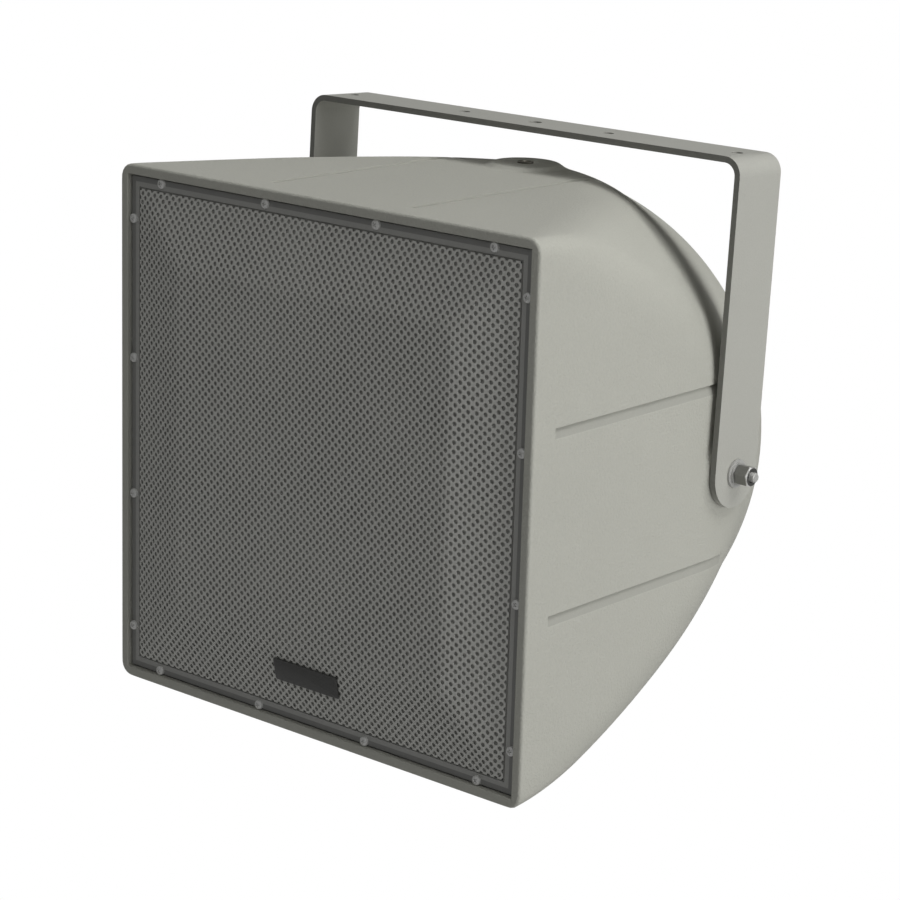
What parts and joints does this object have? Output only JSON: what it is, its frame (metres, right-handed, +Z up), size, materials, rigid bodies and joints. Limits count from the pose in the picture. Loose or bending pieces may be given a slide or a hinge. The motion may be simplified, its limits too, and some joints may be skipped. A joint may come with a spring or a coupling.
{
  "type": "horn loudspeaker with mounting yoke",
  "caption": "Weatherproof two-way horn loudspeaker with a square grille, hung in a bent steel yoke that it tilts in.",
  "frame": {"origin": "middle of the centre hole in the yoke's bar, in the bar's top face", "axes": "+Z up out of the bar, +X along the bar to the right of a listener who faces the speaker, -Y the way the mouth looks; the cabinet is aimed 2.45 degrees down"},
  "size_m": [0.5906, 0.4913, 0.5752],
  "materials": {
    "moulded_grey": "fine moulded grain",
    "grille_steel": "satin grey coat",
    "yoke_steel": "grey powder coat",
    "bright_steel": "stainless",
    "dark_foam": "open foam",
    "badge_dark": "plain",
    "black_plastic": "moulded",
    "black_paint": "black coat",
    "seal_rubber": "matt",
    "cone_paper": "treated paper",
    "spider_cloth": "impregnated cloth",
    "ferrite": "ground",
    "zinc_plate": "zinc",
    "copper_wire": "enamelled winding",
    "insert_brass": "turned",
    "board_green": "circuit board",
    "part_yellow": "capacitor sleeve",
    "ceramic_white": "ceramic"
  },
  "bodies": {
    "yoke": {"yoke": "yoke_steel"},
    "cabinet": {"cabinet": "moulded_grey", "inserts": "insert_brass", "large_washers": "bright_steel", "small_washers": "bright_steel", "pivot_nuts": "bright_steel", "pivot_studs": "bright_steel", "grille": "grille_steel", "grille_foam": "dark_foam", "grille_badge": "badge_dark", "grille_screws": "bright_steel", "bass_horn": "black_plastic", "woofer_gasket": "seal_rubber", "woofer_basket": "black_paint", "woofer_screws": "zinc_plate", "top_plate": "zinc_plate", "magnet": "ferrite", "back_plate": "zinc_plate", "surround": "seal_rubber", "spider": "spider_cloth", "treble_horn": "black_plastic", "treble_bracket": "black_paint", "treble_driver": "black_paint", "bracket_screws": "zinc_plate", "driver_screws": "zinc_plate", "crossover_board": "board_green", "board_standoffs": "insert_brass", "board_screws": "zinc_plate", "inductors": "copper_wire", "capacitors": "part_yellow", "resistor": "ceramic_white", "input_gasket": "seal_rubber", "input_cover": "moulded_grey", "input_screws": "bright_steel", "terminal_strip": "black_plastic", "cable_gland": "black_plastic", "gland_nut": "black_plastic"},
    "cone": {"cone": "cone_paper", "dust_cap": "cone_paper", "voice_coil": "copper_wire"}
  },
  "joints": [
    {"name": "cabinet_tilt", "type": "hinge", "parent": "yoke", "child": "cabinet", "pos_m": [0, 0, -0.302], "axis": [1, 0, 0], "range_deg": [-24.6, 154]},
    {"name": "cone_travel", "type": "slide", "parent": "cabinet", "child": "cone", "axis": [0, -0.9991, -0.0427], "range_m": [-0.0045, 0.0045], "stiffness_N_per_m": 5900, "deforming": ["surround", "spider"]}
  ]
}
